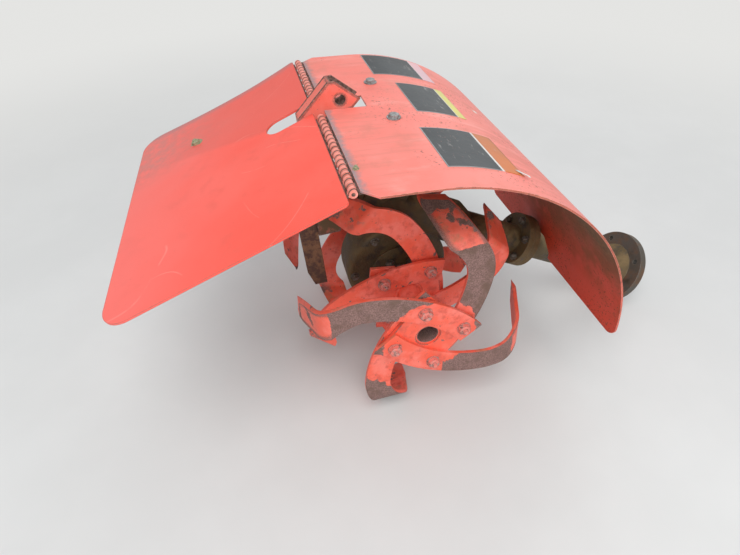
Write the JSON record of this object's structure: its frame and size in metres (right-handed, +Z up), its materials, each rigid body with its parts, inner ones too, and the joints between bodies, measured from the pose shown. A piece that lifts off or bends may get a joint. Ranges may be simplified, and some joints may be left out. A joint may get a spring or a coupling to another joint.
{
  "type": "rotary tiller attachment",
  "caption": "Rotary tiller attachment with curved tines on a central gear case, a curved sheet hood open at both ends, a hinged rear flap and a round drive coupling.",
  "frame": {"origin": "centre of the bolt circle on the coupling flange's front face", "axes": "+Y forward along the machine, +X to its right, +Z up, with the machine parked on its tines and flange rim"},
  "size_m": [0.515, 1.0393, 0.5685],
  "materials": {
    "faded_paint": "sun-faded orange-red paint",
    "flap_paint": "orange-red paint",
    "tine_paint": "orange-red paint worn to rust",
    "cast_iron": "oily rough casting",
    "bare_steel": "dull steel",
    "rusty_steel": "brown rust"
  },
  "bodies": {
    "frame": {"gear_case": "cast_iron", "worm_cap": "cast_iron", "bearing_cap_right": "cast_iron", "bearing_cap_left": "cast_iron", "drive_housing": "cast_iron", "coupling_flange": "cast_iron", "input_shaft": "bare_steel", "hood": "faded_paint", "hood_saddle": "flap_paint", "depth_bracket": "flap_paint", "depth_bar": "rusty_steel", "hinge_leaf_hood_right": "flap_paint", "hinge_leaf_hood_left": "flap_paint", "hinge_pin_right": "bare_steel", "hinge_pin_left": "bare_steel"},
    "rear_flap": {"flap": "flap_paint", "hinge_leaf_flap_right": "flap_paint", "hinge_leaf_flap_left": "flap_paint"},
    "rotor": {"tine_shaft": "bare_steel", "hub_tube_right": "tine_paint", "hub_tube_left": "tine_paint", "tine_plate_right_inner": "tine_paint", "tine_plate_right_outer": "tine_paint", "tine_plate_left_inner": "tine_paint", "tine_plate_left_outer": "tine_paint", "tines_right_inner": "tine_paint", "tines_right_outer": "tine_paint", "tines_left_inner": "tine_paint", "tines_left_outer": "tine_paint"}
  },
  "joints": [
    {"name": "rotor_spin", "type": "hinge", "parent": "frame", "child": "rotor", "pos_m": [0, -0.54504, 0.13242], "axis": [1, 0, 0], "continuous": true},
    {"name": "flap_hinge", "type": "hinge", "parent": "frame", "child": "rear_flap", "pos_m": [0, -0.67704, 0.45242], "axis": [1, 0, 0], "range_deg": [-80, 34]}
  ]
}
